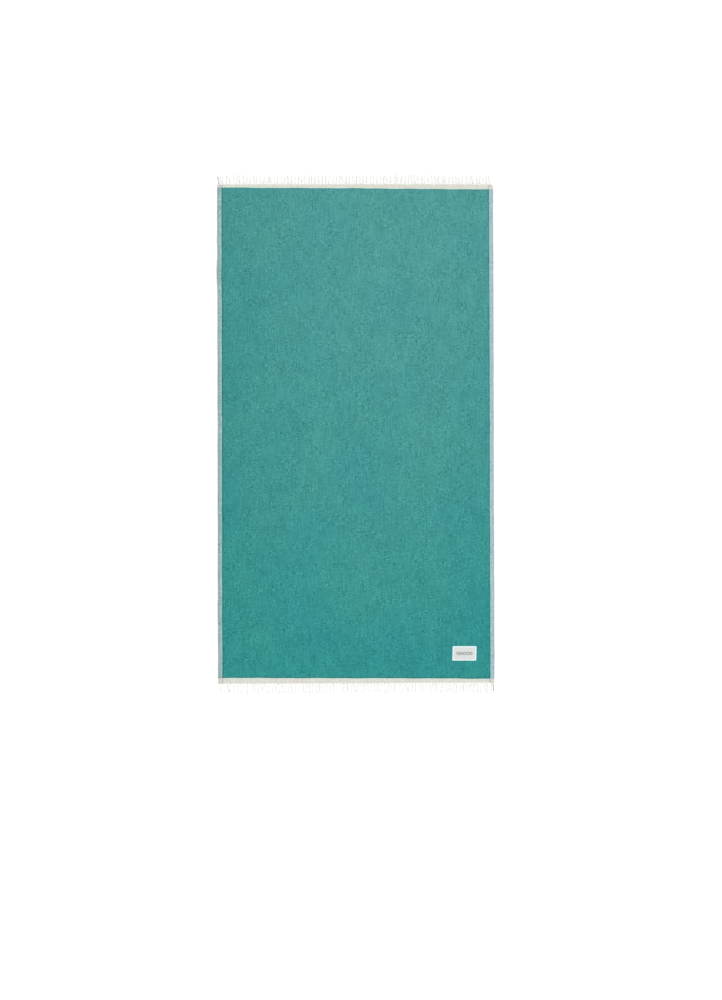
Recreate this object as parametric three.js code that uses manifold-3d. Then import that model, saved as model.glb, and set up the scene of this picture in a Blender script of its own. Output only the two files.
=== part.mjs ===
// Bath towel: one flat-woven cotton cloth with side hems folded to the front, a pale woven
// band and a knotted fringe at each end, and a label sewn on near one corner.
// Millimetres, +X across the towel, +Y along it, +Z up, resting on Z = 0.

import * as THREE from 'three';
import { mergeVertices } from 'three/addons/utils/BufferGeometryUtils.js';
import Module from 'manifold-3d';

const wasm = await Module();
wasm.setup();

// Driving dimensions
const clothWidth = 1000;
const clothLength = 1804;
const clothThickness = 1.6;
const meshGap = 0.3; // left between pieces that touch
const hemWidth = 15.2;
const topBandDepth = 13.5;
const bottomBandDepth = 16.5;

const seamInset = 3; // from a hem's inner edge to its row of stitches
const threadWidth = 0.7;
const threadHeight = 0.5;

const fringeLength = 32; // cloth edge to tassel tip
const headingDepth = 3; // warp ends before they part into tassels
const groupsPerEnd = 20;
const tasselPitch = 12.5;
const tasselRadius = 1.6;
const knotRadius = 2.2;
const knotFromTip = 8;
const tasselSides = 6;

const tailRadius = 0.7;
const tailKnotRadius = 1.5;
const tailLength = 27;
const tailClearance = 0.5; // beside a thread tail's knot

const labelWidth = 86;
const labelHeight = 52;
const labelThickness = 0.8;
const labelSideInset = 109; // label centre to the side edge
const labelEndInset = 105; // label centre to the cloth end
const labelSeamInset = 3;

const motifLozenges = 5;
const motifPitch = 11.6;
const motifHeight = 12;
const motifLink = 1.2; // height of the joint between two lozenges
const motifThickness = 0.4;

const foldSegments = 8; // flats in a hem's round fold

// Derived dimensions
const halfWidth = clothWidth / 2;
const halfLength = clothLength / 2;
const hemThickness = 2 * clothThickness + meshGap;
const innerHalfWidth = halfWidth - hemWidth;
const topBandEdge = halfLength - topBandDepth;
const bottomBandEdge = bottomBandDepth - halfLength;
const tailOffset = halfWidth - tailKnotRadius;
const fringeHalfWidth = tailOffset - tailKnotRadius - tailClearance;
const groupWidth = 2 * fringeHalfWidth / groupsPerEnd;
const tasselsPerGroup = Math.round(groupWidth / tasselPitch);
const fringeStart = halfLength + meshGap;
const tasselTip = halfLength + fringeLength;
const labelCentre = new THREE.Vector2(halfWidth - labelSideInset, labelEndInset - halfLength);
const labelBottom = clothThickness + meshGap;
const labelSeamBottom = labelBottom + labelThickness + meshGap;

const materials = {
  field: { color: 0x469895, roughness: 0.92 },
  hem: { color: 0x98b9bc, roughness: 0.92 },
  band: { color: 0xdedcd1, roughness: 0.9 },
  fringe: { color: 0xf6f6f2, roughness: 0.88 },
  thread: { color: 0xc9c9c6, roughness: 0.7 },
  label: { color: 0xdadcd8, roughness: 0.75 },
  motif: { color: 0x55605f, roughness: 0.7 },
};

const towel = new THREE.Group();

function addPiece(name, geometry, finish) {
  const material = new THREE.MeshStandardMaterial({ ...materials[finish], metalness: 0 });
  const mesh = new THREE.Mesh(geometry, material);
  mesh.name = name;
  towel.add(mesh);
  return mesh;
}

// A box given by the limits of its three sides.
function slab(xMin, xMax, yMin, yMax, zMin, zMax) {
  const box = new THREE.BoxGeometry(xMax - xMin, yMax - yMin, zMax - zMin);
  return box.translate((xMin + xMax) / 2, (yMin + yMax) / 2, (zMin + zMax) / 2);
}

// A section in the XZ plane carried along Y between two limits.
function alongY(section, yMin, yMax) {
  const prism = new THREE.ExtrudeGeometry(section, {
    depth: yMax - yMin,
    bevelEnabled: false,
    curveSegments: foldSegments,
  });
  return prism.rotateX(Math.PI / 2).translate(0, yMax, 0);
}

function toManifold(geometry) {
  const bare = geometry.clone();
  bare.deleteAttribute('normal');
  bare.deleteAttribute('uv');
  const merged = mergeVertices(bare);
  return new wasm.Manifold(new wasm.Mesh({
    numProp: 3,
    vertProperties: new Float32Array(merged.attributes.position.array),
    triVerts: new Uint32Array(merged.index.array),
  }));
}

function toGeometry(solid) {
  const mesh = solid.getMesh();
  const geometry = new THREE.BufferGeometry();
  geometry.setAttribute('position', new THREE.BufferAttribute(mesh.vertProperties, 3));
  geometry.setIndex(new THREE.BufferAttribute(mesh.triVerts, 1));
  geometry.computeVertexNormals();
  return geometry;
}

// Cloth folded back on itself: two layers with a round fold at the towel's side.
function hemSection(side) {
  const fold = hemThickness / 2;
  const foldCentre = halfWidth - fold;
  const section = new THREE.Shape();
  section.moveTo(innerHalfWidth, 0);
  section.lineTo(foldCentre, 0);
  section.absarc(foldCentre, fold, fold, -Math.PI / 2, Math.PI / 2, false);
  section.lineTo(innerHalfWidth, hemThickness);
  section.closePath();
  if (side > 0) return section;
  const mirrored = section.getPoints(foldSegments).map((point) => new THREE.Vector2(-point.x, point.y));
  return new THREE.Shape(mirrored.reverse());
}

// The cloth: the coloured field, two end bands, two side hems and the hems' four corners.
function addCloth() {
  const fieldX = innerHalfWidth - meshGap;
  const fieldTop = topBandEdge - meshGap;
  const fieldBottom = bottomBandEdge + meshGap;
  addPiece('field', slab(-fieldX, fieldX, fieldBottom, fieldTop, 0, clothThickness), 'field');
  const topBand = slab(-fieldX, fieldX, topBandEdge, halfLength, 0, clothThickness);
  const bottomBand = slab(-fieldX, fieldX, -halfLength, bottomBandEdge, 0, clothThickness);
  addPiece('end_band_top', topBand, 'band');
  addPiece('end_band_bottom', bottomBand, 'band');
  for (const [sideName, side] of [['left', -1], ['right', 1]]) {
    const section = hemSection(side);
    addPiece(`side_hem_${sideName}`, alongY(section, fieldBottom, fieldTop), 'hem');
    addPiece(`hem_corner_top_${sideName}`, alongY(section, topBandEdge, halfLength), 'band');
    addPiece(`hem_corner_bottom_${sideName}`, alongY(section, -halfLength, bottomBandEdge), 'band');
  }
}

// The sewing thread that lies on each hem, along its inner edge.
function addHemSeams() {
  const bottom = hemThickness + meshGap;
  for (const [sideName, side] of [['left', -1], ['right', 1]]) {
    const centre = side * (innerHalfWidth + seamInset);
    const thread = slab(
      centre - threadWidth / 2, centre + threadWidth / 2,
      -halfLength, halfLength,
      bottom, bottom + threadHeight,
    );
    addPiece(`hem_seam_${sideName}`, thread, 'thread');
  }
}

// A round, slightly lumpy strand along +Y from start to tip, resting on Z = 0.
function strand(start, tip, radius, knot, knotCentre, tuftRadius) {
  const outline = [
    [0, start],
    [radius, start],
    [radius, knotCentre - knot],
    [knot, knotCentre - knot / 2],
    [knot, knotCentre + knot / 2],
    [radius, knotCentre + knot],
    [tuftRadius, tip],
    [0, tip],
  ];
  const points = outline.map(([r, y]) => new THREE.Vector2(r, y));
  return new THREE.LatheGeometry(points, tasselSides);
}

// One group of tassels: a strip of warp ends that parts into twisted, knotted tassels.
function tasselGroup(left, right) {
  const pitch = (right - left) / tasselsPerGroup;
  const heading = slab(left, right, fringeStart, fringeStart + headingDepth, 0, clothThickness);
  const solids = [toManifold(heading)];
  for (let index = 0; index < tasselsPerGroup; index += 1) {
    const tassel = strand(
      fringeStart + headingDepth / 2, tasselTip,
      tasselRadius, knotRadius, tasselTip - knotFromTip, knotRadius,
    );
    tassel.translate(left + (index + 0.5) * pitch, 0, knotRadius);
    solids.push(toManifold(tassel));
  }
  return toGeometry(wasm.Manifold.union(solids));
}

function addFringe() {
  for (let index = 0; index < groupsPerEnd; index += 1) {
    const left = -fringeHalfWidth + index * groupWidth + meshGap / 2;
    const geometry = tasselGroup(left, left + groupWidth - meshGap);
    const number = String(index + 1).padStart(2, '0');
    addPiece(`tassels_top_${number}`, geometry, 'fringe');
    // The bottom end is the top end turned half a turn, so its groups count from the right.
    const turned = addPiece(`tassels_bottom_${number}`, geometry.clone(), 'fringe');
    turned.rotation.z = Math.PI;
  }
}

// The hem thread's knotted end, left at one corner and at the corner across from it.
function addThreadTails() {
  const tip = fringeStart + tailLength;
  const tail = strand(
    fringeStart, tip, tailRadius, tailKnotRadius, tip - 2 * tailKnotRadius, tailRadius,
  );
  tail.translate(-tailOffset, 0, tailKnotRadius);
  addPiece('thread_tail_top_left', tail, 'thread');
  addPiece('thread_tail_bottom_right', tail.clone().rotateZ(Math.PI), 'thread');
}

// The label, the thread that holds it down on all four sides, and its ornament.
function addLabel() {
  const { x, y } = labelCentre;
  const halfLabelWidth = labelWidth / 2;
  const halfLabelHeight = labelHeight / 2;
  const patch = slab(
    x - halfLabelWidth, x + halfLabelWidth,
    y - halfLabelHeight, y + halfLabelHeight,
    labelBottom, labelBottom + labelThickness,
  );
  addPiece('label', patch, 'label');

  const seamHalfWidth = halfLabelWidth - labelSeamInset;
  const seamHalfHeight = halfLabelHeight - labelSeamInset;
  const ring = rectangle(seamHalfWidth, seamHalfHeight);
  ring.holes.push(rectangle(seamHalfWidth - threadWidth, seamHalfHeight - threadWidth));
  const seam = new THREE.ExtrudeGeometry(ring, { depth: threadHeight, bevelEnabled: false });
  addPiece('label_stitching', seam.translate(x, y, labelSeamBottom), 'thread');

  const motif = new THREE.ExtrudeGeometry(motifOutline(), { depth: motifThickness, bevelEnabled: false });
  addPiece('label_motif', motif.translate(x, y, labelSeamBottom), 'motif');
}

function rectangle(halfX, halfY) {
  const corners = [[-halfX, -halfY], [halfX, -halfY], [halfX, halfY], [-halfX, halfY]];
  return new THREE.Shape(corners.map(([x, y]) => new THREE.Vector2(x, y)));
}

// A plain row of lozenges that join at their points.
function motifOutline() {
  const start = -motifLozenges * motifPitch / 2;
  const lower = [];
  for (let index = 0; index < motifLozenges; index += 1) {
    lower.push(new THREE.Vector2(start + index * motifPitch, -motifLink / 2));
    lower.push(new THREE.Vector2(start + (index + 0.5) * motifPitch, -motifHeight / 2));
  }
  lower.push(new THREE.Vector2(-start, -motifLink / 2));
  const upper = lower.map((point) => new THREE.Vector2(point.x, -point.y)).reverse();
  return new THREE.Shape([...lower, ...upper]);
}

addCloth();
addHemSeams();
addFringe();
addThreadTails();
addLabel();

export default towel;
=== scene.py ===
"""A fringed bath towel laid out flat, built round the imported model.

The cloth settles in one simulation. Every piece is then worked out in cloth coordinates, u across
the towel and v along it, and carried onto the settled cloth, so hems, bands, stitches, label and
fringe all follow the same folds. Metres throughout.
"""

import bpy
import numpy as np
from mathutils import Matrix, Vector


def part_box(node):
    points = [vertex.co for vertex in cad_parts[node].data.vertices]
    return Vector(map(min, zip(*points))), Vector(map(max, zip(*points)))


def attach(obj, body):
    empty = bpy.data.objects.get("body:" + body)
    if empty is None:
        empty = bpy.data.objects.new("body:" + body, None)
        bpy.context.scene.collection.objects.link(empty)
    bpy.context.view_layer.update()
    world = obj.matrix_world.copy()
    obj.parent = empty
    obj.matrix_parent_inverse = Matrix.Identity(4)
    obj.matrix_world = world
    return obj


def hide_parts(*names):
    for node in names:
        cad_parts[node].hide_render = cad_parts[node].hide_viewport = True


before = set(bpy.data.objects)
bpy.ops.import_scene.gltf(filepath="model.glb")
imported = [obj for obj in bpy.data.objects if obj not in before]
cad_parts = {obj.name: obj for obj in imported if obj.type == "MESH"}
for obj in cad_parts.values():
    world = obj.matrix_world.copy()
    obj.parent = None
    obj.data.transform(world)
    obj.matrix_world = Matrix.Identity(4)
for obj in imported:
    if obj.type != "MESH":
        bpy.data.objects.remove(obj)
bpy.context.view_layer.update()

MM = 0.001
VERTICAL = (0.0, 0.0, 1.0)

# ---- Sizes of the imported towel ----

field_low, field_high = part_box("field")
hem_low, hem_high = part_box("side_hem_right")
top_band_low, top_band_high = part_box("end_band_top")
bottom_band_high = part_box("end_band_bottom")[1]
label_low, label_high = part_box("label")
motif_low, motif_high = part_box("label_motif")

CLOTH = field_high[2] - field_low[2]
HALF_WIDTH = hem_high[0]
HALF_LENGTH = top_band_high[1]
HEM_INNER = hem_low[0]
HEM_WIDTH = HALF_WIDTH - HEM_INNER
HEM_HEIGHT = hem_high[2] - hem_low[2]
FRINGE_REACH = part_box("tassels_top_01")[1][1] - HALF_LENGTH
LABEL_CENTRE = ((label_low[0] + label_high[0]) / 2, (label_low[1] + label_high[1]) / 2)
LABEL_HALF = ((label_high[0] - label_low[0]) / 2, (label_high[1] - label_low[1]) / 2)
TOP, BOTTOM = 1, -1
LEFT, RIGHT = -1, 1
END_NAMES = {TOP: "top", BOTTOM: "bottom"}
SIDE_NAMES = {LEFT: "left", RIGHT: "right"}

# How the cloth was laid: straightened by hand, so a few millimetres off true.
LEAN = 0.0024            # sideways drift of the whole cloth per metre of length
TAPER = 0.0007           # how much each side spreads per metre towards the bottom end
END_SLOPE = 0.0036       # rise of the bottom end per metre of width
SIDE_WANDER = 0.22 * MM  # how far the side edges wander in and out
SIDE_RIPPLES = ((33 * MM, 0.4, 1.0), (19 * MM, 0.0, 0.8), (8.7 * MM, 0.0, 0.6))

# Where the weft lines between field and bands run, off square by so much per metre of width.
BAND_EDGE = {TOP: top_band_low[1], BOTTOM: bottom_band_high[1]}
WEFT_SKEW = {TOP: 0.0067, BOTTOM: 0.0066}

STITCH = 3.4 * MM        # length of one lockstitch on the hems
SEAM_INSET = 3.0 * MM    # from a hem's inner edge to its seam
THREAD = 0.33 * MM       # radius of sewing thread
STITCH_SWELL = np.array([0.6, 0.95, 1.0, 0.95, 0.6])    # share of its radius along one stitch

TASSELS_IN_GROUP = 4
TASSEL_GROUPS = 20

# ---- The settled cloth ----

CONTROL_COLUMNS = 64
CONTROL_ROWS = 115
SETTLE_FRAMES = 14
CLOTH_SEED = 5


def stacked(*parts):
    """Arrays of coordinates spread to one shape and joined along a new last axis."""
    return np.stack(np.broadcast_arrays(*parts), axis=-1)


FLAT = stacked(
    np.linspace(-HALF_WIDTH, HALF_WIDTH, CONTROL_COLUMNS)[None, :],
    np.linspace(-HALF_LENGTH, HALF_LENGTH, CONTROL_ROWS)[:, None],
    0.0,
)


def unit(vectors):
    """Vectors along the last axis, each of length one."""
    return vectors / np.linalg.norm(vectors, axis=-1, keepdims=True)


def add_object(name, data):
    """A new object, linked into the scene."""
    added = bpy.data.objects.new(name, data)
    bpy.context.scene.collection.objects.link(added)
    return added


def unevenness(x, y, seed, count, shortest, longest):
    """Sum of plane sine waves of random heading, phase and length, with a spread of about one."""
    rng = np.random.default_rng(seed)
    total = np.zeros_like(x)
    for _ in range(count):
        heading = rng.uniform(0, 2 * np.pi)
        length = rng.uniform(shortest, longest)
        phase = rng.uniform(0, 2 * np.pi)
        along = x * np.cos(heading) + y * np.sin(heading)
        total += np.sin(2 * np.pi * along / length + phase)
    return total / np.sqrt(count / 2)


def smoothed(heights, passes):
    """Each value becomes 1/4, 1/2, 1/4 of its neighbours and itself, along both ways of the grid."""
    for _ in range(passes):
        padded = np.pad(heights, ((1, 1), (1, 1), (0, 0)), mode="edge")
        rows = padded[:-2] / 4 + padded[1:-1] / 2 + padded[2:] / 4
        heights = rows[:, :-2] / 4 + rows[:, 1:-1] / 2 + rows[:, 2:] / 4
    return heights


def settle_cloth():
    """How far each point of a flat grid has moved once the cloth has settled: a slightly rumpled
    cloth is dropped onto the surface, and what the simulation leaves is smoothed."""
    x, y = FLAT[..., 0], FLAT[..., 1]
    rumple = unevenness(x, y, CLOTH_SEED, count=18, shortest=0.2, longest=0.8)

    spare = 0.9985           # the grid starts this much shorter than the cloth it becomes
    drop = 25 * MM
    rumple_height = 6.3 * MM
    start = stacked(spare * x, spare * y, drop + rumple_height * rumple)
    count = CONTROL_ROWS * CONTROL_COLUMNS
    quads = grid_quads(CONTROL_ROWS, CONTROL_COLUMNS)
    mesh = bpy.data.meshes.new("settling_cloth")
    mesh.from_pydata(start.reshape(-1, 3).tolist(), [], quads.tolist())
    cloth = add_object("settling_cloth", mesh)
    ground_mesh = bpy.data.meshes.new("settling_ground")
    ground_mesh.from_pydata([(-2, -2, 0), (2, -2, 0), (2, 2, 0), (-2, 2, 0)], [], [(0, 1, 2, 3)])
    ground = add_object("settling_ground", ground_mesh)
    ground.modifiers.new("Collision", "COLLISION")
    ground.collision.thickness_outer = 2 * MM
    ground.collision.cloth_friction = 20
    ground.collision.damping = 0.9
    modifier = cloth.modifiers.new("Cloth", "CLOTH")
    settings = modifier.settings
    settings.quality = 6
    settings.mass = 0.3
    settings.tension_stiffness = settings.compression_stiffness = 40
    settings.shear_stiffness = 20
    settings.bending_stiffness = 25
    settings.air_damping = 4
    modifier.collision_settings.distance_min = 2 * MM
    modifier.collision_settings.collision_quality = 3
    modifier.collision_settings.use_self_collision = False
    scene = bpy.context.scene
    for number in range(1, SETTLE_FRAMES + 1):
        scene.frame_set(number)

    settled = cloth.evaluated_get(bpy.context.evaluated_depsgraph_get()).data
    points = np.empty(count * 3)
    settled.vertices.foreach_get("co", points)
    for thing in (cloth, ground):
        bpy.data.objects.remove(thing)
    for used in (mesh, ground_mesh):
        bpy.data.meshes.remove(used)
    scene.frame_set(1)
    return smoothed(points.reshape(CONTROL_ROWS, CONTROL_COLUMNS, 3) - FLAT, passes=2)


def pulled_straight(moved):
    """Moves without their even part: a plane in u and v is fitted to the sideways and lengthways
    moves and taken off, so the cloth keeps its size, and half of what is left stays."""
    even = stacked(FLAT[..., 0], FLAT[..., 1], 1.0).reshape(-1, 3)
    inplane = moved[..., :2].reshape(-1, 2)
    fitted = even @ np.linalg.lstsq(even, inplane, rcond=None)[0]
    moved[..., :2] = (inplane - fitted).reshape(moved.shape[:2] + (2,)) / 2
    return moved


def lay_askew(moved):
    """Where the settled points lie, resting on z = CLOTH / 2, after the laying hand moved them:
    x drifts by LEAN * -v, spreads by TAPER and wanders along the sides, y rises by
    END_SLOPE * u towards the bottom end."""
    u, v = FLAT[..., 0], FLAT[..., 1]
    points = FLAT + pulled_straight(moved)
    wander = sum(weight * np.sin(v / ripple + phase) for ripple, phase, weight in SIDE_RIPPLES)
    towards_bottom = 0.5 - v / (2 * HALF_LENGTH)
    side = u / HALF_WIDTH
    points[..., 0] += -LEAN * v - TAPER * v * side + SIDE_WANDER * wander * np.abs(side) ** 3
    points[..., 1] += END_SLOPE * u * towards_bottom
    resting = np.percentile(points[..., 2], 4)
    points[..., 2] = np.maximum(points[..., 2] - resting, 0) + CLOTH / 2
    return points


class SettledCloth:
    """The towel's middle layer as it lies: a uniform cubic B-spline surface over (u, v).

    A point is the sum of the sixteen nearest control points, each times its cubic basis along u
    and along v. A lift moves it along the surface's normal."""

    def __init__(self, control):
        control = np.concatenate([2 * control[:1] - control[1:2], control,
                                  2 * control[-1:] - control[-2:-1]], axis=0)
        self.control = np.concatenate([2 * control[:, :1] - control[:, 1:2], control,
                                       2 * control[:, -1:] - control[:, -2:-1]], axis=1)

    @staticmethod
    def _basis(t):
        return stacked((1 - t) ** 3, 3 * t**3 - 6 * t**2 + 4,
                       -3 * t**3 + 3 * t**2 + 3 * t + 1, t**3) / 6

    @staticmethod
    def _slope(t):
        return stacked(-((1 - t) ** 2), 3 * t**2 - 4 * t, -3 * t**2 + 2 * t + 1, t**2) / 2

    def at(self, u, v, lift=0.0):
        """Points of the cloth at cloth coordinates u and v, raised by lift along its normal."""
        u, v, lift = np.broadcast_arrays(np.asarray(u, float), np.asarray(v, float), lift)
        across = (u + HALF_WIDTH) / (2 * HALF_WIDTH) * (CONTROL_COLUMNS - 1)
        along = (v + HALF_LENGTH) / (2 * HALF_LENGTH) * (CONTROL_ROWS - 1)
        column = np.clip(np.floor(across), 0, CONTROL_COLUMNS - 2).astype(int)
        row = np.clip(np.floor(along), 0, CONTROL_ROWS - 2).astype(int)
        weights_u, slopes_u = self._basis(across - column), self._slope(across - column)
        weights_v, slopes_v = self._basis(along - row), self._slope(along - row)
        point = np.zeros(u.shape + (3,))
        along_u = np.zeros_like(point)
        along_v = np.zeros_like(point)
        for j in range(4):
            for i in range(4):
                near = self.control[row + j, column + i]
                point += (weights_u[..., i] * weights_v[..., j])[..., None] * near
                along_u += (slopes_u[..., i] * weights_v[..., j])[..., None] * near
                along_v += (weights_u[..., i] * slopes_v[..., j])[..., None] * near
        return point + lift[..., None] * unit(np.cross(along_u, along_v))


# ---- Making meshes ----


def grid_quads(rows, columns, closed=False):
    """Corner numbers of a grid's quads, turned to face +Z when columns run +X and rows run +Y.
    A closed grid joins its last column to its first."""
    numbers = np.arange(rows * columns).reshape(rows, columns)
    ahead = np.roll(numbers, -1, axis=1) if closed else numbers[:, 1:]
    here = numbers if closed else numbers[:, :-1]
    return stacked(here[:-1], ahead[:-1], ahead[1:], here[1:]).reshape(-1, 4)


class Piece:
    """A mesh that is put together from whole arrays of points and faces."""

    def __init__(self, name):
        self.name = name
        self.points, self.corners, self.sizes, self.uvs, self.slots = [], [], [], [], []
        self.count = 0

    def add(self, points, face_sets):
        """points is (n, 3); each face set is (faces, uv, slot), with faces (m, k) numbers into
        these points, uv (m, k, 2) in metres of cloth and slot the number of its material."""
        for faces, uv, slot in face_sets:
            self.corners.append(faces.ravel() + self.count)
            self.sizes.append(np.full(len(faces), faces.shape[1]))
            self.uvs.append(np.asarray(uv, float).reshape(-1, 2))
            self.slots.append(np.full(len(faces), slot))
        self.points.append(points)
        self.count += len(points)

    def finish(self, materials, node, slot):
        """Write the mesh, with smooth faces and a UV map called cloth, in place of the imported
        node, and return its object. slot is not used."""
        points = np.concatenate(self.points)
        corners = np.concatenate(self.corners)
        sizes = np.concatenate(self.sizes)
        mesh = bpy.data.meshes.new(self.name)
        mesh.vertices.add(len(points))
        mesh.vertices.foreach_set("co", points.ravel())
        mesh.loops.add(len(corners))
        mesh.loops.foreach_set("vertex_index", corners)
        mesh.polygons.add(len(sizes))
        mesh.polygons.foreach_set("loop_start", np.cumsum(sizes) - sizes)
        for material in materials:
            mesh.materials.append(material)
        mesh.polygons.foreach_set("material_index", np.concatenate(self.slots))
        layer = mesh.uv_layers.new(name="cloth")
        layer.uv.foreach_set("vector", np.concatenate(self.uvs).ravel())
        mesh.update(calc_edges=True)
        mesh.validate()
        mesh.polygons.foreach_set("use_smooth", np.ones(len(mesh.polygons), bool))
        piece = add_object(self.name, mesh)
        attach(piece, "root")
        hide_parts(node)
        return piece


def add_layer(piece, cloth, u, v, top, bottom, turned=None):
    """A closed layer of cloth: a grid of points at lift top, the same grid at lift bottom, and a
    rim between them. Slot 0 is the top, slot 1 the rest. turned may give other UVs."""
    rows, columns = u.shape
    count = rows * columns
    upper = cloth.at(u, v, top).reshape(-1, 3)
    lower = cloth.at(u, v, bottom).reshape(-1, 3)
    quads = grid_quads(rows, columns)
    numbers = np.arange(count).reshape(rows, columns)
    rim = np.concatenate([numbers[0, :-1], numbers[:-1, -1], numbers[-1, :0:-1], numbers[:0:-1, 0]])
    onward = np.roll(rim, -1)
    sides = stacked(rim + count, onward + count, onward, rim)
    flat = stacked(u, v).reshape(-1, 2) if turned is None else turned.reshape(-1, 2)
    uv = np.concatenate([flat, flat])
    under = quads[:, ::-1] + count
    piece.add(np.concatenate([upper, lower]),
              [(quads, uv[quads], 0), (under, uv[under], 1), (sides, uv[sides], 1)])


def add_tube(piece, rings, uv):
    """Closed tubes from rings of points (tube, step, side, 3), going anticlockwise as seen from
    the tube's end, with uv (tube, step, side + 1, 2) and a flat cap at each end."""
    tubes, steps, sides = rings.shape[:3]
    points = rings.reshape(-1, 3)
    one = grid_quads(steps, sides, closed=True)[:, ::-1]
    numbers = np.arange(steps * (sides + 1)).reshape(steps, sides + 1)
    one_uv = stacked(numbers[:-1, :-1], numbers[:-1, 1:], numbers[1:, 1:], numbers[1:, :-1])
    one_uv = one_uv.reshape(-1, 4)[:, ::-1]
    first = np.arange(tubes)[:, None, None]
    quads = (one[None] + first * steps * sides).reshape(-1, 4)
    quad_uv = uv.reshape(tubes, -1, 2)[:, one_uv].reshape(-1, 4, 2)
    ring = np.arange(sides)
    start = (ring[None] + first[:, 0] * steps * sides)
    end = start[:, ::-1] + (steps - 1) * sides
    piece.add(points, [(quads, quad_uv, 0), (start, uv[:, 0, :-1], 0),
                       (end, uv[:, -1, :-1][:, ::-1], 0)])


def rings_round(paths, radius, first, second, sides):
    """Rings of points path + radius * (cos(angle) * first + sin(angle) * second)."""
    angle = np.arange(sides)[:, None] * 2 * np.pi / sides
    ring = np.cos(angle) * first[..., None, :] + np.sin(angle) * second[..., None, :]
    return paths[..., None, :] + radius * ring


def add_strands(piece, paths, radius, sides):
    """Round strands along paths (..., step, 3), their rings turned by side = direction x vertical
    and up = side x direction; radius is one value or one for each step."""
    paths = paths.reshape(-1, *paths.shape[-2:])
    radius = np.broadcast_to(radius, paths.shape[:2])
    direction = unit(np.gradient(paths, axis=1))
    side = unit(np.cross(direction, VERTICAL))
    up = np.cross(side, direction)
    rings = rings_round(paths, radius[..., None, None], side, up, sides)
    hops = np.linalg.norm(np.diff(paths, axis=1), axis=-1)
    length = np.concatenate([np.zeros((len(paths), 1)), np.cumsum(hops, axis=1)], axis=1)
    around = np.linspace(0, 2 * np.pi, sides + 1)
    add_tube(piece, rings, stacked(length[..., None], radius[..., None] * around))


def ease(t):
    """Smooth step: 3 t^2 - 2 t^3 for t held between 0 and 1."""
    t = np.clip(t, 0, 1)
    return t * t * (3 - 2 * t)


# ---- Materials ----


class Value:
    """A number that varies over a surface. Sums on it add Math nodes."""

    def __init__(self, finish, socket):
        self.finish = finish
        self.socket = socket

    def math(self, operation, first, second=0.0):
        return self.finish.node("ShaderNodeMath", {"operation": operation}, {0: first, 1: second})

    def __add__(self, other):
        return self.math("ADD", self, other)

    def __sub__(self, other):
        return self.math("SUBTRACT", self, other)

    def __rsub__(self, other):
        return self.math("SUBTRACT", other, self)

    def __mul__(self, other):
        return self.math("MULTIPLY", self, other)

    def __truediv__(self, other):
        return self.math("DIVIDE", self, other)

    def __pow__(self, other):
        return self.math("POWER", self, other)

    __radd__ = __add__
    __rmul__ = __mul__

    def floor(self):
        return self.math("FLOOR", self)

    def arch(self):
        """|sin(pi * value)|: one hump for each whole step."""
        return self.math("SINE", self * np.pi).size()

    def larger(self, other):
        return self.math("MAXIMUM", self, other)

    def size(self):
        return self.math("ABSOLUTE", self)

    def odd(self):
        """1 where the whole number below the value is odd, else 0."""
        return self.math("FLOORED_MODULO", self.floor(), 2.0)

    def held(self):
        """The value kept between 0 and 1."""
        return self.math("MINIMUM", self.math("MAXIMUM", self, 0.0), 1.0)


class Finish:
    """A material of cloth or thread: one Principled surface and the nodes that vary it."""

    def __init__(self, name, roughness, sheen):
        self.material = bpy.data.materials.new(name)
        self.material.use_nodes = True
        self.tree = self.material.node_tree
        self.tree.nodes.clear()
        output = self.tree.nodes.new("ShaderNodeOutputMaterial")
        self.surface = self.tree.nodes.new("ShaderNodeBsdfPrincipled")
        self.tree.links.new(self.surface.outputs[0], output.inputs["Surface"])
        self.set("Roughness", roughness)
        self.set("Specular IOR Level", 0.2)
        self.set("Sheen Weight", sheen)
        self.set("Sheen Roughness", 0.5)
        self.set("Sheen Tint", (1, 1, 1, 1))

    def set(self, socket, value):
        self.feed(self.surface.inputs[socket], value)

    def feed(self, socket, value):
        if isinstance(value, Value):
            self.tree.links.new(value.socket, socket)
        elif isinstance(value, tuple) and len(value) == 3 and socket.type == "RGBA":
            socket.default_value = (*value, 1.0)
        else:
            socket.default_value = value

    def node(self, kind, settings=None, inputs=None, output=0):
        """Add a node, set it up, feed its sockets and return one output, or a list of them."""
        node = self.tree.nodes.new(kind)
        for key, value in (settings or {}).items():
            setattr(node, key, value)
        for key, value in (inputs or {}).items():
            self.feed(node.inputs[key], value)
        if isinstance(output, tuple):
            return [Value(self, node.outputs[index]) for index in output]
        return Value(self, node.outputs[output])

    def flat(self):
        """The piece's own flat coordinates, in metres."""
        return self.node("ShaderNodeUVMap", {"uv_map": "cloth"})

    def split(self, vector):
        return self.node("ShaderNodeSeparateXYZ", {}, {0: vector}, output=(0, 1))

    def join(self, first, second):
        return self.node("ShaderNodeCombineXYZ", {}, {0: first, 1: second})

    def mottle(self, vector, across, along, detail=0.0, shift=0.0):
        """Noise from 0 to 1 in patches about so long across and along, in metres."""
        moved = self.node("ShaderNodeMapping", {}, {
            "Vector": vector, "Location": (shift, 0.7 * shift, 0), "Scale": (1 / across, 1 / along, 1),
        })
        return self.node("ShaderNodeTexNoise", {"noise_dimensions": "2D"}, {
            "Vector": moved, "Scale": 1.0, "Detail": detail, "Roughness": 0.5,
        })

    def blend(self, factor, first, second):
        """Colour going from first to second as factor goes from 0 to 1."""
        return self.node("ShaderNodeMix", {"data_type": "RGBA"}, {0: factor, 6: first, 7: second},
                         output=2)

    def relief(self, height, depth):
        """Bump the surface by height times depth, in metres."""
        bump = self.node("ShaderNodeBump", {}, {"Height": height, "Distance": depth, "Strength": 1.0})
        self.set("Normal", bump)


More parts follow.
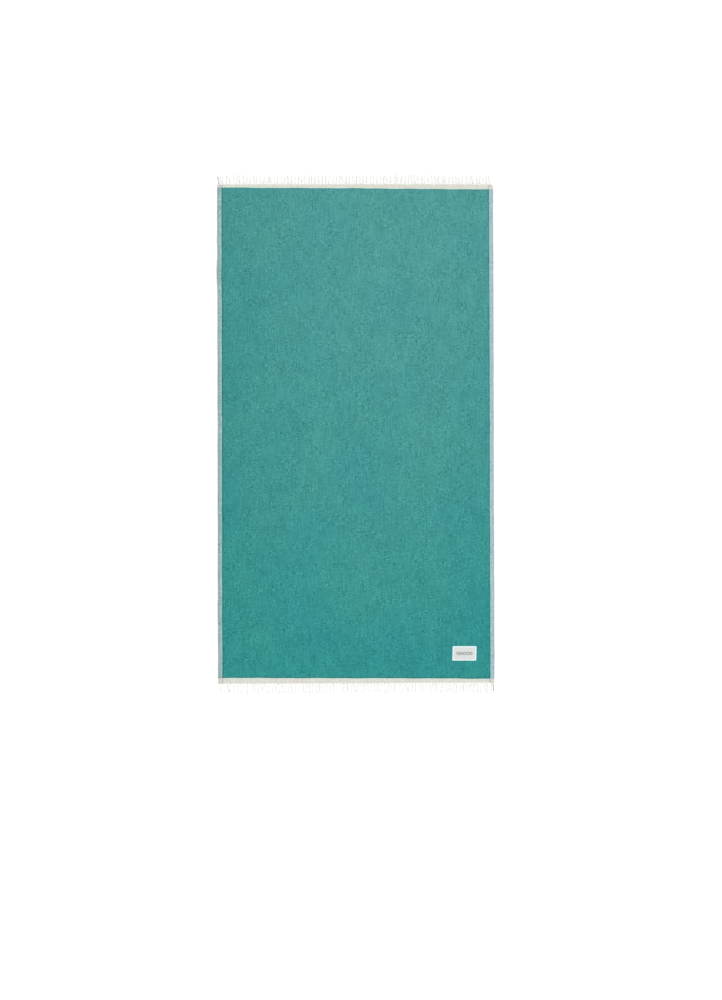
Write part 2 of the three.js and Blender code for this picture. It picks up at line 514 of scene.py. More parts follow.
def dye(red, green, blue):
    """A colour on the 0 to 255 scale as linear light, by the sRGB rule."""
    scaled = np.array([red, green, blue]) / 255
    return tuple(float(c) for c in np.where(scaled <= 0.04045, scaled / 12.92,
                                            ((scaled + 0.055) / 1.055) ** 2.4))


WARP_PITCH = 1.3 * MM
WEFT_PITCH = 0.9 * MM

# Spots of uneven yarn, each (across, along, detail, weight): small ones, and slubs, streaks
# along single ends and picks and slow patches.
SMALL_SPOTS = (
    (4.2 * MM, 15 * MM, 1.0, 0.85),
    (12 * MM, 4.2 * MM, 1.0, 0.85),
    (5.2 * MM, 5.2 * MM, 1.0, 0.95),
)
SLOW_SPOTS = (
    (2 * WARP_PITCH, 70 * MM, 0.0, 0.35),
    (26 * MM, WEFT_PITCH, 0.0, 0.30),
    (9 * MM, 34 * MM, 0.0, 0.24),
    (30 * MM, 9 * MM, 0.0, 0.18),
    (36 * MM, 48 * MM, 0.0, 0.18),
    (80 * MM, 110 * MM, 1.0, 0.20),
)


def weave(across, along):
    """Plain weave in flat coordinates. Each pick of weft is one hump along the cloth,
    |sin(pi * pick)|; across the cloth it rises over every other warp end, a row of humps that
    shifts by one end from pick to pick. Returns the weft's cover and its height."""
    pick = along / WEFT_PITCH
    end = across / WARP_PITCH * 0.5 + pick.odd() * 0.5
    rise = end.arch()
    return rise, (rise * 0.6 + 0.4) * pick.arch()


def heather(finish, flat):
    """Uneven shade of hand-spun cotton, about 0 and mostly within 0.5 either way: thin and thick
    spots in single ends and picks, slubs both ways, and slow patches. Small spots keep one shade
    over each crossing of an end and a pick, and are sharpened as
    spot * (0.25 + 2.2 * |spot| + 0.7 * spot), so that a few stand out, light ones more. Patches
    of the cloth are busier or quieter than the rest."""
    def spots(place, sizes, shift):
        total = 0.0
        for number, (wide, tall, detail, weight) in enumerate(sizes):
            spot = finish.mottle(place, wide, tall, detail, shift=shift + 2.3 * number)
            total = total + (spot - 0.5) * weight
        return total

    across, along = finish.split(flat)
    crossing = finish.join((across / WARP_PITCH).floor() * WARP_PITCH,
                           (along / WEFT_PITCH).floor() * WEFT_PITCH)
    small = spots(crossing, SMALL_SPOTS, shift=3.1)
    rest = spots(flat, SLOW_SPOTS, shift=11.7)
    busy = finish.mottle(flat, 70 * MM, 50 * MM, detail=1.0, shift=21.0)
    small = small * (small.size() * 2.2 + small * 0.7 + 0.25)
    return small * ((busy - 0.5) * 3.2 + 0.95).larger(0.2) + rest


def woven_cloth(name, yarn_colours, warp, warp_shows, contrast=1.0):
    """Heathered plain weave. yarn_colours gives the dark and the light colour of the yarn at a place,
    with painted sheen and shade in them on the teal and the reverse; the heather goes between them,
    and the warp peeps out between the picks."""
    finish = Finish(name, roughness=0.93, sheen=0.08)
    flat = finish.flat()
    across, along = finish.split(flat)
    cover, height = weave(across, along)
    uneven = heather(finish, flat)
    dark, light = yarn_colours(finish, flat, across, along)
    colour = finish.blend((uneven * contrast + 0.5).held(), dark, light)
    peeping = ((1 - cover) ** 3) * warp_shows * (uneven + 0.8)
    finish.set("Base Color", finish.blend(peeping.held(), colour, warp))
    finish.relief(height + uneven * 0.8, 0.35 * MM)
    return finish.material


def past_weft_line(across, along, end):
    """How far a place lies from a weft line between field and band, outwards towards that end."""
    return (along - BAND_EDGE[end] + across * WEFT_SKEW[end]) * end


def teal_colours_with_painted_light(finish, flat, across, along):
    """Teal that is paler and greyer towards the top right and deepest at the bottom end, as
    1 - (1 - height) ^ 1.6 up the cloth: a painted sheen, as if a grazing light from the upper
    right lay over the cloth. It is a little deeper along the sides. It is darker towards the
    left, above the bottom, as painted shade away from that light, and within about 5 mm of the
    weft lines at the bands, and it turns greener and bluer in slow patches."""
    up = (along / (2 * HALF_LENGTH) + 0.5).held()
    near_side = (across / HALF_WIDTH) ** 4
    hue = finish.mottle(flat, 210 * MM, 260 * MM, detail=1.0, shift=9.4)
    # Painted sheen: paler and greyer up the cloth and towards the top right.
    paler = (0.96 - (1 - up) ** 1.6 + across * up * 0.42 + (hue - 0.5) * 0.3 - near_side * 0.2).held()
    green = ((hue - 0.5) * 2.0 + 0.5).held()
    # Darker within about 5 mm of the weft lines at the bands.
    outwards = past_weft_line(across, along, TOP).larger(past_weft_line(across, along, BOTTOM))
    near_weft_line = (1 + outwards / (5 * MM)).held() * 0.5
    # Painted shade: darker towards the left, above the bottom.
    darker = near_weft_line.larger((across / -HALF_WIDTH).held() ** 2 * (up * 3).held() * 0.2)
    dark, bluish, greenish = (finish.blend(paler, *pair) for pair in zip(TEAL_DEEP, TEAL_SHEENED))
    return dark, finish.blend(darker, finish.blend(green, bluish, greenish), dark)


def reverse_colours_with_painted_light(finish, flat, across, along):
    """Pale aqua, greyer towards a hem's fold and paler towards its turned edge: painted shade on
    the fold, which curves down away from the light. The right hem is lighter and bluer and the
    left darker and greener: painted light from the right, with the left hem in painted shade.
    """
    inward = ((across.size() - (HALF_WIDTH + HEM_WIDTH)) / HEM_WIDTH).held()
    right = (across / (2 * HALF_WIDTH) + 0.5).held()
    # Painted shade: greyer at the fold and darker on the left; painted light: bluer and paler on the
    # right.
    left_tone = finish.blend(inward, dye(112, 136, 134), dye(88, 152, 152))
    right_tone = finish.blend(inward, dye(140, 154, 156), dye(112, 170, 182))
    dark = finish.blend(right, left_tone, right_tone)
    # Paler towards the turned edge, away from the painted shade at the fold.
    paler = (0.38 + inward ** 2 * 0.34).held()
    return dark, finish.blend(paler, dark, dye(206, 226, 226))


CREAM = {TOP: (dye(222, 228, 214), dye(231, 222, 210)),
         BOTTOM: (dye(220, 228, 219), dye(227, 224, 217))}


def cream_dyes(end):
    """Cream, here greener and there rosier along a band, with a greenish pick by the field."""
    def yarn_colours(finish, flat, across, along):
        patch = finish.mottle(flat, 230 * MM, 300 * MM, detail=1.0, shift=4.4)
        turned = ((patch - 0.5) * 4.0 + 0.5).held()
        light = finish.blend(turned, *CREAM[end])
        by_field = (2 - past_weft_line(across, along, end) / (3.2 * MM)).held()
        return dye(196, 193, 180), finish.blend(by_field, light, dye(204, 233, 225))
    return yarn_colours


def rosy_dyes(finish, flat, across, along):
    """Cream with a faint pink, the same all over."""
    return dye(198, 187, 184), dye(227, 216, 213)


def twisted_yarn(name, light, dark, lay, sheen=0.2):
    """Spun yarn: fine slanting grooves, one each lay along the strand, and slightly uneven shade."""
    finish = Finish(name, roughness=0.85, sheen=sheen)
    flat = finish.flat()
    length, around = finish.split(flat)
    groove = ((length + around * 1.2) / lay).arch()
    uneven = finish.mottle(flat, 6 * MM, 2 * MM, detail=1.0)
    # The grooves are darker in colour as well as in relief: painted shade.
    shade = (groove * 0.35 + uneven * 0.9 - 0.1).held()
    finish.set("Base Color", finish.blend(shade, dark, light))
    finish.relief(groove, 0.12 * MM)
    return finish.material


def satin_label(name, light, dark):
    """Smooth satin: fine floats along the label, broken at every fifth thread, and a paler rim."""
    finish = Finish(name, roughness=0.6, sheen=0.1)
    flat = finish.flat()
    across, along = finish.split(flat)
    row = along / (0.35 * MM)
    float_end = (across / (2.2 * MM) + row.floor() * 0.4).arch()
    uneven = finish.mottle(flat, 9 * MM, 3 * MM, detail=1.0)
    rim = 4.5 * MM
    from_x = (LABEL_HALF[0] - (across - LABEL_CENTRE[0]).size()) / rim
    from_y = (LABEL_HALF[1] - (along - LABEL_CENTRE[1]).size()) / rim
    inside = from_x.math("MINIMUM", from_x, from_y).held()
    # The float ends are darker in colour where they dip in relief: painted shade.
    shade = ((1 - inside ** 2) * 0.75 + uneven * 0.25 + float_end * 0.12).held()
    finish.set("Base Color", finish.blend(shade, dark, light))
    finish.relief(row.arch() * 0.6 + float_end * 0.4, 0.1 * MM)
    return finish.material


# Dark yarn, bluish light yarn and greenish light yarn, at the bottom and the top of the cloth;
# the top ones are paler and greyer by a painted sheen.
TEAL_DEEP = (dye(11, 110, 108), dye(44, 154, 154), dye(46, 156, 149))
TEAL_SHEENED = (dye(46, 121, 119), dye(82, 164, 163), dye(84, 165, 158))

teal_face = woven_cloth("teal_heathered_cotton", teal_colours_with_painted_light, warp=dye(150, 196, 194),
                        warp_shows=0.22)
pale_reverse = woven_cloth("pale_aqua_reverse", reverse_colours_with_painted_light, warp=dye(214, 226, 226),
                           warp_shows=0.4, contrast=1.1)
cream_bands = {
    end: woven_cloth(f"cream_band_weave_{name}", cream_dyes(end), warp=dye(238, 236, 228),
                     warp_shows=0.3, contrast=0.6)
    for end, name in END_NAMES.items()
}
rosy_corner = woven_cloth("cream_hem_corner", rosy_dyes, warp=dye(232, 226, 222),
                          warp_shows=0.3, contrast=0.6)
# The bottom fringe is whiter than the top's: painted light, as if the bottom end were lit more
# brightly.
fringe_cotton = {
    TOP: twisted_yarn("white_fringe_cotton", dye(250, 250, 247), dye(240, 240, 234), 1.1 * MM,
                      sheen=0.3),
    BOTTOM: twisted_yarn("painted_bright_fringe_cotton", dye(254, 254, 250), dye(246, 246, 239), 1.1 * MM,
                         sheen=0.3),
}
seam_thread = twisted_yarn("aqua_seam_thread", dye(182, 204, 204), dye(148, 172, 174), 0.6 * MM)
tail_thread = twisted_yarn("grey_thread_tail", dye(150, 150, 149), dye(112, 112, 110), 0.6 * MM)
label_cloth = satin_label("blank_satin_label", dye(231, 248, 250), dye(193, 191, 187))
label_thread = twisted_yarn("white_label_thread", dye(240, 244, 243), dye(214, 217, 216), 0.6 * MM)
motif_thread = twisted_yarn("dark_motif_thread", dye(70, 70, 67), dye(40, 41, 40), 0.6 * MM)

# ---- Cloth pieces ----


def weft_line(u, end):
    """v of the weft line between the field and one end's band: a line askew by WEFT_SKEW that
    wanders a little, v = edge - skew * u + wander."""
    wander = 0.35 * MM * (np.sin(u / 0.037 + end) + np.sin(u / 0.016 + 2 * end))
    return BAND_EDGE[end] - WEFT_SKEW[end] * u + wander


def between(first, second, fractions):
    return first + (second - first) * fractions


def stitch_pull(v):
    """1 at a needle hole and 0 midway between holes, as (1 + cos(2 pi v / STITCH)) / 2."""
    return 0.5 + 0.5 * np.cos(2 * np.pi * v / STITCH)


def make_field(cloth):
    """The coloured field: a flat layer between the hems and the two weft lines."""
    cell = 7.5 * MM
    columns = int(2 * HEM_INNER / cell)
    rows = int((BAND_EDGE[TOP] - BAND_EDGE[BOTTOM]) / cell)
    u = np.linspace(-HEM_INNER, HEM_INNER, columns)[None, :]
    v = between(weft_line(u, BOTTOM), weft_line(u, TOP), np.linspace(0, 1, rows)[:, None])
    u = np.broadcast_to(u, v.shape)
    piece = Piece("towel_field")
    add_layer(piece, cloth, u, v, CLOTH / 2, -CLOTH / 2)
    return piece.finish([teal_face, pale_reverse], "field", "teal_cloth")


def make_band(cloth, end):
    """An end band: a layer with raised ribs of thick weft across the towel. Its height is
    CLOTH / 2 + rib * |sin(pi * depth / rib pitch)|, and it thins to a soft edge at the fringe."""
    rib_pitch = 2.3 * MM
    rib = 0.28 * MM
    columns = 130
    rows = 53
    u = np.linspace(-HEM_INNER, HEM_INNER, columns)[None, :]
    depth = np.linspace(0, 1, rows)[:, None]
    v = between(weft_line(u, end), end * HALF_LENGTH, depth if end == TOP else depth[::-1])
    u = np.broadcast_to(u, v.shape)
    ribs = np.abs(np.sin(np.pi * (end * HALF_LENGTH - v) / rib_pitch)) * rib
    soft_edge = 1 - 0.45 * np.exp(-np.abs(end * HALF_LENGTH - v) / (1.0 * MM))
    lift = (CLOTH / 2 + ribs) * soft_edge
    piece = Piece(f"towel_band_{END_NAMES[end]}")
    add_layer(piece, cloth, u, v, lift, -CLOTH / 2 * soft_edge)
    return piece.finish([cream_bands[end]] * 2, f"end_band_{END_NAMES[end]}", "cream_band")


OUTER_HEM_HEIGHT = HEM_HEIGHT - 0.7 * MM    # two layers at the fold
INNER_HEM_HEIGHT = HEM_HEIGHT + 0.3 * MM    # three layers where the raw edge is turned in


def hem_top(inward, v):
    """Height of a hem's top above its underside, at a distance inward from the fold. It climbs
    from the fold to the turned edge, is slightly uneven, and is drawn in along the seam, most at
    the needle holes."""
    height = between(OUTER_HEM_HEIGHT, INNER_HEM_HEIGHT, ease(inward / HEM_WIDTH))
    uneven = 0.16 * MM * (np.sin(v / 0.0061 + 1.1) + np.sin(v / 0.0137) + np.sin(v / 0.0023))
    from_seam = (inward - (HEM_WIDTH - SEAM_INSET)) / (1.5 * MM)
    drawn_in = (0.45 + 0.35 * stitch_pull(v)) * MM * np.exp(-from_seam**2)
    return height + uneven * np.sin(np.pi * np.clip(inward / HEM_WIDTH, 0, 1)) - drawn_in


def hem_section(v):
    """One closed outline of a hem for each v: distance inward from the fold and height above the
    underside, each (rows, points), going along the underside to the fold, round it, back along
    the top and down the rounded turned edge."""
    fold = OUTER_HEM_HEIGHT / 2
    nose = 1.1 * MM
    v = v[:, None]
    under = np.linspace(HEM_WIDTH, fold, 6)[None, :]
    swing = np.linspace(-np.pi / 2, np.pi / 2, 9)[None, 1:]
    over = np.linspace(fold, HEM_WIDTH - nose, 15)[None, 1:]
    dip = np.linspace(0, np.pi / 2, 5)[None, 1:]
    ones = np.ones_like(v)
    edge_height = hem_top(HEM_WIDTH - nose, v)
    inward = np.concatenate([
        under * ones,
        (fold - fold * np.cos(swing)) * ones,
        over * ones,
        (HEM_WIDTH - nose + nose * np.sin(dip)) * ones,
    ], axis=1)
    height = np.concatenate([
        0 * under * ones,
        (fold + fold * np.sin(swing)) * ones,
        hem_top(over, v),
        edge_height - (edge_height - CLOTH * 0.9) * (1 - np.cos(dip)) * ones,
    ], axis=1)
    return inward, height


def make_hem(cloth, node, side, low_line, high_line, finish, slot):
    """A stretch of side hem between two lines v(u), as its section carried along the edge."""
    length = high_line(side * HALF_WIDTH) - low_line(side * HALF_WIDTH)
    rows = int(3 * length / STITCH) + 2
    fractions = np.linspace(0, 1, rows)
    rough_v = between(low_line(side * HALF_WIDTH), high_line(side * HALF_WIDTH), fractions)
    inward, height = hem_section(rough_v)
    u = side * (HALF_WIDTH - inward)
    v = between(low_line(u), high_line(u), fractions[:, None])
    rings = cloth.at(u, v, height - CLOTH / 2)
    hops = np.hypot(np.diff(inward, axis=1, append=inward[:, :1]),
                    np.diff(height, axis=1, append=height[:, :1]))
    around = np.concatenate([np.zeros((rows, 1)), np.cumsum(hops, axis=1)], axis=1)
    closed_v = np.concatenate([v, v[:, :1]], axis=1)
    uv = stacked(side * (HALF_WIDTH + around), closed_v)
    if side == LEFT:
        rings = rings[::-1]
        uv = uv[::-1]
    piece = Piece(f"towel_{node.replace('side_', '')}")
    add_tube(piece, rings[None], uv[None])
    return piece.finish([finish], node, slot)


def cut_line(end):
    """The cloth's cut end as a line v(u)."""
    return lambda u: np.full(np.shape(u), end * HALF_LENGTH)


def make_hems(cloth):
    """Both side hems, and the short stretches of hem that cross the bands."""
    lines = (cut_line(BOTTOM), lambda u: weft_line(u, BOTTOM), lambda u: weft_line(u, TOP),
             cut_line(TOP))
    return [
        make_hem(cloth, f"{kind}_{side_name}", side, lines[first], lines[first + 1], finish, slot)
        for side, side_name in SIDE_NAMES.items()
        for kind, first, finish, slot in (
            ("side_hem", 1, pale_reverse, "aqua_cloth"),
            ("hem_corner_top", 2, rosy_corner, "cream_band"),
            ("hem_corner_bottom", 0, rosy_corner, "cream_band"),
        )
    ]


# ---- Sewing ----


def stitch_paths(cloth, starts, ends, lift):
    """Threads from starts to ends, both (n, 2) in cloth coordinates: straight in plan, stopping
    short of both holes, and arched over the cloth as lift + arch * (sin(pi t) - 0.45)."""
    arch = 0.22 * MM
    show = np.linspace(0.06, 0.94, len(STITCH_SWELL))
    plan = starts[:, None] + (ends - starts)[:, None] * show[None, :, None]
    rise = lift[:, None] + arch * (np.sin(np.pi * show) - 0.45)[None]
    return cloth.at(plan[..., 0], plan[..., 1], rise)


def make_hem_seam(cloth, side):
    """The row of lockstitches along a hem's turned edge, one thread arch for each stitch."""
    inward = HEM_WIDTH - SEAM_INSET
    slant = 0.18 * MM
    first = int(np.ceil(-HALF_LENGTH / STITCH))
    holes = np.arange(first, int(HALF_LENGTH / STITCH) + 1) * STITCH
    u = side * (HALF_WIDTH - inward)
    middle = (holes[:-1] + holes[1:]) / 2
    lift = hem_top(inward, middle) - CLOTH / 2 + 0.1 * MM
    paths = stitch_paths(cloth, stacked(u - slant, holes[:-1]), stacked(u + slant, holes[1:]), lift)
    piece = Piece(f"hem_stitches_{SIDE_NAMES[side]}")
    add_strands(piece, paths, THREAD * STITCH_SWELL, sides=6)
    return piece.finish([seam_thread], f"hem_seam_{SIDE_NAMES[side]}", "sewing_thread")


TAILS = (    # side, end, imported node, and where the knot lies across the towel
    (LEFT, TOP, "thread_tail_top_left", -0.4975),
    (RIGHT, BOTTOM, "thread_tail_bottom_right", 0.4972),
)
TAIL_INSET = 6 * MM      # from the fold to where the thread leaves the hem
TAIL_REACH = 30.5 * MM
TAIL_PLY = 0.48 * MM
TAIL_LAY = 2.4 * MM


def make_thread_tail(cloth, side, end, node, tip_u):
    """The hem thread's end: it comes out of the hem's open end between the layers, lies on the
    surface and stops in a small knot. Two plies wind round one smooth line."""
    start_u = side * (HALF_WIDTH - TAIL_INSET)
    edge = cloth.at(start_u, end * HALF_LENGTH, (HEM_HEIGHT - CLOTH) / 2)
    t = np.linspace(0, 1, 64)
    x = edge[0] + (tip_u - start_u) * ease(t * 1.2) + 0.9 * MM * side * np.sin(6.5 * t) * t
    y = edge[1] + end * (TAIL_REACH * t - 2 * MM)
    z = between(edge[2], 2.1 * MM, ease(t * 3.2 - 0.15))
    line = stacked(x, y, z)
    phase = 2 * np.pi * t * TAIL_REACH / TAIL_LAY + np.array([0, np.pi])[:, None]
    offset = stacked(np.cos(phase), 0, np.sin(phase)) * 0.75 * TAIL_PLY
    piece = Piece(node.replace("tail", "end"))
    add_strands(piece, line[None] + offset, TAIL_PLY, sides=6)
    knot = line[-6]
    add_knot(piece, knot[None], np.array([[0.0, end, 0.0]]), 1.25 * MM, 0.75 * MM)
    splayed = np.array([-0.5, 0.1, 0.6])[:, None]
    t = np.linspace(0, 1, 5)
    whiskers = knot + stacked(splayed * 2.2 * MM * t, end * (2.8 * MM * t), -1.0 * MM * t)
    whiskers[..., 2] = np.maximum(whiskers[..., 2], 0.3 * MM)
    add_strands(piece, whiskers, 0.28 * MM, sides=5)
    return piece.finish([tail_thread], node, "sewing_thread")


# ---- Fringe ----


def add_knot(piece, centres, along, loop, strand):
    """A knot at each centre (n, 3): a strand wound round the direction along (n, 3), as
    centre + loop * (cos(turn) * side + sin(turn) * up) + along * advance."""
    steps = 14
    turn = np.linspace(0, 2 * np.pi * 1.75, steps)
    along = unit(along)
    side = np.cross(along, VERTICAL)
    up = np.cross(side, along)
    advance = np.linspace(-0.9, 0.9, steps) * strand
    path = (centres[:, None]
            + loop * np.cos(turn)[None, :, None] * side[:, None]
            + loop * np.sin(turn)[None, :, None] * up[:, None]
            + advance[None, :, None] * along[:, None])
    direction = unit(np.gradient(path, axis=1))
    outward = unit(path - centres[:, None] - advance[None, :, None] * along[:, None])
    rings = rings_round(path, strand, outward, np.cross(direction, outward), sides=6)
    around = np.broadcast_to(np.arange(7) * strand, (len(centres), steps, 7))
    length = (turn * loop)[:, None]
    add_tube(piece, rings[:, :, ::-1], stacked(length, around))


WARP_ENDS = 8                 # yarns that make up one tassel
STRAYS = 5                    # loose ends beside each tassel
YARN = 0.5 * MM
STRAY_YARN = 0.38 * MM
PLY = 0.92 * MM
TWIST_START = 10.5 * MM       # from the cloth's end to where its yarns are all twisted together
FALL = 9 * MM                 # how far out the fringe has come down to the floor
KNOT_FROM_TIP = 8 * MM
KNOT_LOOP = 1.25 * MM
REACH_TRIM = {TOP: 2.0 * MM, BOTTOM: 3.5 * MM}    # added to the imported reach
TWIST_LAY = 8.5 * MM

# Spread from tassel to tassel: leans per metre outwards, sideways sway and reach.
TASSEL_LEAN = 0.07
STRAY_LEAN = 0.10
TASSEL_SWAY = 1.2 * MM
TASSEL_REACH = 1.6 * MM


def tassel_group(cloth, node, end, rng):
    """Four tassels. Each gathers its warp ends from the cloth's end into a two-ply twist, is
    knotted near its tip and ends in a tuft, with a few loose ends beside it. Lines are worked out
    in towel directions: out from the cloth, across it and up, with across and out turned half a
    turn at the bottom end."""
    low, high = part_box(node)
    count = TASSELS_IN_GROUP
    pitch = (high[0] - low[0]) / count
    root = low[0] + (np.arange(count) + 0.5) * pitch
    lean = rng.normal(0, TASSEL_LEAN, count)
    sway = rng.normal(0, TASSEL_SWAY, count)
    reach = FRINGE_REACH + REACH_TRIM[end] + rng.normal(0, TASSEL_REACH, count)
    phase = rng.uniform(0, 2 * np.pi, count)
    splay = rng.normal(0, 1, (count, WARP_ENDS))
    tuft_length = rng.uniform(0.55, 1.5, (count, WARP_ENDS))
    stray_lean = rng.normal(0, STRAY_LEAN, (count, STRAYS))
    stray_reach = reach[:, None] * rng.uniform(0.5, 1.0, (count, STRAYS))
    stray_root = rng.uniform(-0.5, 0.5, (count, STRAYS)) * pitch
    edge = cloth.at(root, end * HALF_LENGTH)

    def centre_line(out):
        """Middle of each tassel at distances out (count, steps) from the cloth's end."""
        t = out / reach[:, None]
        across = lean[:, None] * out + sway[:, None] * np.sin(2.2 * t)
        rest = 1.75 * MM
        up = between(edge[:, 2:3], rest, ease(out / FALL))
        return edge[:, None] * [1, 1, 0] + stacked(end * across, end * out, up)

    piece = Piece(node.replace("tassels", "fringe"))

    # The warp ends fan in from the cloth's end to the twist.
    t = np.linspace(0, 1, 7)
    out = np.broadcast_to(between(-1.0 * MM, TWIST_START + 1.5 * MM, t), (count, len(t)))
    spread = (np.arange(WARP_ENDS) + 0.5) / WARP_ENDS - 0.5
    yarn_u = root[:, None] + end * spread * pitch
    yarn_edge = cloth.at(yarn_u, end * HALF_LENGTH)[:, :, None]
    fanned = yarn_edge + out[:, None, :, None] * [0, end, 0]
    bundle = spread * 2 * np.pi + phase[:, None]
    gather = stacked(np.cos(bundle), 0, np.sin(bundle))[:, :, None] * 0.9 * MM
    gathered = centre_line(out)[:, None] + gather
    yarns = between(fanned, gathered, ease(t * 1.12)[:, None])
    yarns[..., 2] += 0.25 * MM * splay[..., None] * np.sin(np.pi * t)
    yarns[..., 2] = np.maximum(yarns[..., 2], YARN)
    add_strands(piece, yarns, YARN, sides=5)

    # Two plies wind round each other as far as the knot.
    knot_out = reach - KNOT_FROM_TIP
    t = np.linspace(0, 1, 15)
    out = between(TWIST_START, knot_out[:, None], t)
    turn = 2 * np.pi * out[:, None] / TWIST_LAY + phase[:, None, None] + np.array([0, np.pi])[:, None]
    wind = stacked(np.cos(turn), 0, np.sin(turn)) * 0.78 * MM
    plies = centre_line(out)[:, None] + wind
    add_strands(piece, plies, PLY * np.clip(0.55 + 2.2 * t, 0, 1), sides=6)

    knot = centre_line(knot_out[:, None])[:, 0]
    heading = stacked(end * lean, float(end), 0.0)
    knot[:, 2] = KNOT_LOOP + PLY
    add_knot(piece, knot, heading, KNOT_LOOP, PLY)

    # Past the knot the warp ends spread into a tuft.
    t = np.linspace(0, 1, 5)
    tuft = KNOT_FROM_TIP * tuft_length[..., None] * t
    fan = (spread[None, :] * 1.6 + 0.35 * splay)[..., None] * (0.7 * MM + 2.6 * MM * t**1.3)
    drop = -0.9 * MM * t + 0.5 * MM * np.sin(bundle)[..., None] * (1 - t)
    ends = knot[:, None, None] + stacked(end * (fan + lean[:, None, None] * tuft), end * tuft, drop)
    ends[..., 2] = np.maximum(ends[..., 2], YARN * 0.8)
    add_strands(piece, ends, YARN * np.array([1.0, 1.0, 0.95, 0.85, 0.5]), sides=4)

    # Loose ends lie beside the tassels.
    t = np.linspace(0, 1, 6)
    out = stray_reach[..., None] * t
    stray_edge = cloth.at(root[:, None] + end * stray_root, end * HALF_LENGTH)[:, :, None]
    curl = 1.1 * MM * np.sin(5 * t + phase[:, None, None]) * t
    strays = stray_edge * [1, 1, 0] + stacked(
        end * (stray_lean[..., None] * out + curl), end * (out - 1 * MM),
        between(stray_edge[..., 2], 0.5 * MM, ease(out / FALL)))
    add_strands(piece, strays, STRAY_YARN * np.array([1.0, 1.0, 0.95, 0.85, 0.7, 0.4]), sides=4)

    return piece.finish([fringe_cotton[end]], node, "white_fringe")


def make_fringe(cloth):
    rng = np.random.default_rng(23)
    return [
        tassel_group(cloth, f"tassels_{END_NAMES[end]}_{number:02d}", end, rng)
        for end in (TOP, BOTTOM)
        for number in range(1, TASSEL_GROUPS + 1)
    ]


# ---- Label ----

LABEL_ROW_TURN = np.radians(-0.15)    # sewn on by eye: the sides lean more than the rows turn
LABEL_SIDE_TURN = np.radians(-1.9)
LABEL_SEAM = 2.6 * MM
LABEL_STITCH = 2.5 * MM


def on_label(p, q):
    """Cloth coordinates of a point p across and q along the label from its centre, as
    (p cos(row) - q sin(side), p sin(row) + q cos(side)) for the turns of its rows and sides."""
    row, side = LABEL_ROW_TURN, LABEL_SIDE_TURN
    return (LABEL_CENTRE[0] + p * np.cos(row) - q * np.sin(side),
            LABEL_CENTRE[1] + p * np.sin(row) + q * np.cos(side))


def label_top(p, q):
    """Lift of the label's top: two folded layers round the rim, one inside, rounded down at the
    edge and drawn in along the stitching."""
    margin = np.minimum(LABEL_HALF[0] - np.abs(p), LABEL_HALF[1] - np.abs(q))
    layers = between(0.95 * MM, 0.6 * MM, ease((margin - 4.0 * MM) / (1.2 * MM)))
    edge = np.sqrt(np.clip(1 - np.clip(1 - margin / (0.9 * MM), 0, 1) ** 2, 0.02, 1))
    drawn_in = 0.35 * MM * np.exp(-(((margin - LABEL_SEAM) / (0.7 * MM)) ** 2))
    pucker = 0.12 * MM * np.sin(p / 0.004 + 0.6) * np.sin(q / 0.0033)
    return CLOTH / 2 + 0.1 * MM + layers * edge - drawn_in + pucker * edge


def make_label(cloth):
    """The label's cloth: a thin layer with a folded rim, blank but for its ornament."""
    columns, rows = 111, 69
    p, q = np.meshgrid(np.linspace(-1, 1, columns), np.linspace(-1, 1, rows))
    corner = 1 - 0.006 * (p * q) ** 8
    p = p * LABEL_HALF[0] * corner
    q = q * LABEL_HALF[1] * corner
    u, v = on_label(p, q)
    flat = stacked(LABEL_CENTRE[0] + p, LABEL_CENTRE[1] + q)
    piece = Piece("label_patch")
    add_layer(piece, cloth, u, v, label_top(p, q), CLOTH / 2 + 0.02 * MM, turned=flat)
    return piece.finish([label_cloth] * 2, "label", "label_cloth")


def add_backstitches(piece, cloth, corners, length, radius, lift):
    """Stitches of about the given length along straight runs between corners (n, 2) on the label."""
    for first, second in zip(corners[:-1], corners[1:]):
        run = np.hypot(*(second - first))
        count = max(1, int(round(run / length)))
        cuts = first + (second - first) * np.linspace(0, 1, count + 1)[:, None]
        middle = (cuts[:-1] + cuts[1:]) / 2
        holes = stacked(*on_label(cuts[:, 0], cuts[:, 1]))
        height = label_top(middle[:, 0], middle[:, 1]) + lift
        paths = stitch_paths(cloth, holes[:-1], holes[1:], height)
        add_strands(piece, paths, radius * STITCH_SWELL, sides=6)


def make_label_stitching(cloth):
    """Stitches round all four sides of the label."""
    half_p = LABEL_HALF[0] - LABEL_SEAM
    half_q = LABEL_HALF[1] - LABEL_SEAM
    corners = np.array([[-half_p, -half_q], [half_p, -half_q], [half_p, half_q],
                        [-half_p, half_q], [-half_p, -half_q]])
    piece = Piece("label_stitches")
    add_backstitches(piece, cloth, corners, LABEL_STITCH, 0.3 * MM, 0.12 * MM)
    return piece.finish([label_thread], "label_stitching", "sewing_thread")


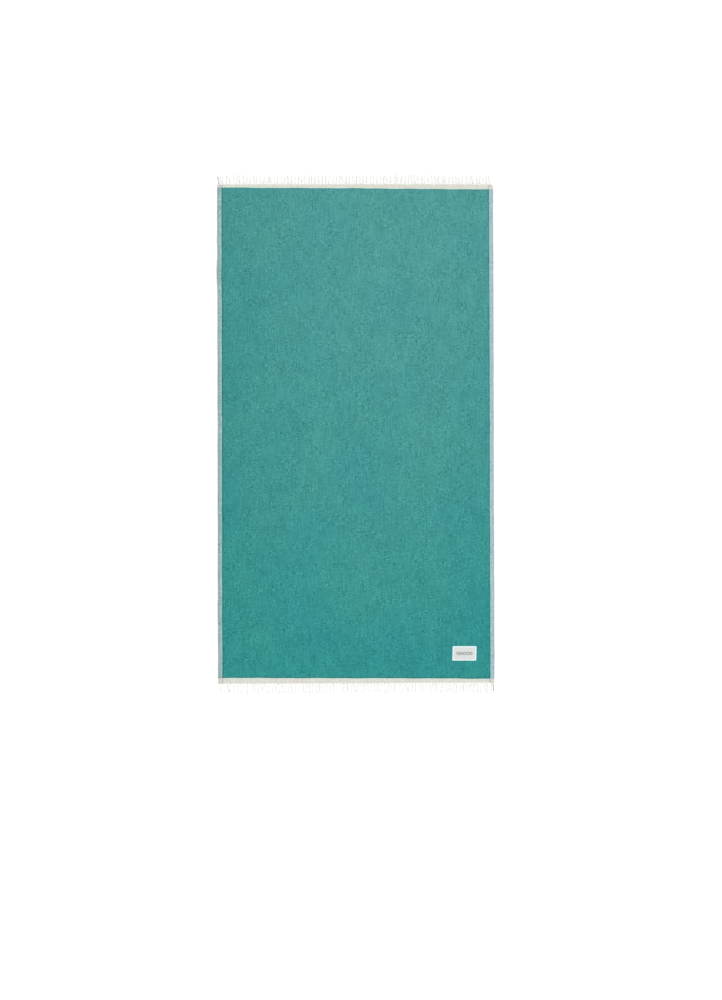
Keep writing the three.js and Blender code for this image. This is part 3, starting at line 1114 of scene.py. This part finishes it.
def make_motif(cloth):
    """The ornament: a plain chain of open lozenges in backstitch, first its lower side and then
    its upper side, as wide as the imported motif."""
    lozenges = 5
    nodes = np.linspace(-0.5, 0.5, 2 * lozenges + 1) * (motif_high[0] - motif_low[0])
    half_height = np.where(np.arange(2 * lozenges + 1) % 2, (motif_high[1] - motif_low[1]) / 2, 0.0)
    piece = Piece("label_ornament")
    for way in (-1, 1):
        add_backstitches(piece, cloth, stacked(nodes, way * half_height), 2.1 * MM, 0.8 * MM, 0.1 * MM)
    return piece.finish([motif_thread], "label_motif", "motif_thread")


# ---- Camera, floor and light ----

VIEW_HEIGHT = 3.623                   # metres of floor seen from top to bottom of the view
CAMERA_PLACE = (0.0189, -0.240)
LENS = 85.0
SENSOR = 36.0


def set_camera():
    """A camera that looks straight down, with the towel's top end at the top of the view."""
    data = bpy.data.cameras.new("overhead_camera")
    data.lens = LENS
    data.sensor_width = SENSOR
    camera = add_object("overhead_camera", data)
    camera.location = (*CAMERA_PLACE, VIEW_HEIGHT * LENS / SENSOR)
    bpy.context.scene.camera = camera


def set_floor():
    """A plain pale floor."""
    size = 30.0
    mesh = bpy.data.meshes.new("floor")
    corners = [(-size, -size), (size, -size), (size, size), (-size, size)]
    mesh.from_pydata([(x, y, -0.2 * MM) for x, y in corners], [], [(0, 1, 2, 3)])
    finish = Finish("pale_floor", roughness=0.9, sheen=0.0)
    finish.set("Base Color", (0.90, 0.90, 0.90))
    mesh.materials.append(finish.material)
    floor = add_object("floor", mesh)
    return floor


def set_light():
    """A wide soft light from the upper right over an even pale surround."""
    data = bpy.data.lights.new("soft_key", "SUN")
    data.energy = 1.85
    data.angle = np.radians(60)
    data.color = (1.0, 0.99, 0.975)
    key = add_object("soft_key", data)
    key.rotation_euler = (np.radians(-16), np.radians(24), 0)
    world = bpy.data.worlds.new("pale_surround")
    world.use_nodes = True
    background = world.node_tree.nodes["Background"]
    background.inputs["Color"].default_value = (0.975, 0.99, 1.0, 1.0)
    background.inputs["Strength"].default_value = 0.74
    bpy.context.scene.world = world


bpy.context.scene.view_settings.view_transform = "Standard"
set_camera()
floor = set_floor()
set_light()

cloth = SettledCloth(lay_askew(settle_cloth()))

field = make_field(cloth)
trim = [make_band(cloth, TOP), make_band(cloth, BOTTOM)]
trim += make_hems(cloth)
trim += [make_hem_seam(cloth, side) for side in SIDE_NAMES]
trim += [make_thread_tail(cloth, *tail) for tail in TAILS]
trim += make_fringe(cloth)
label = make_label(cloth)
label_trim = [make_label_stitching(cloth), make_motif(cloth)]
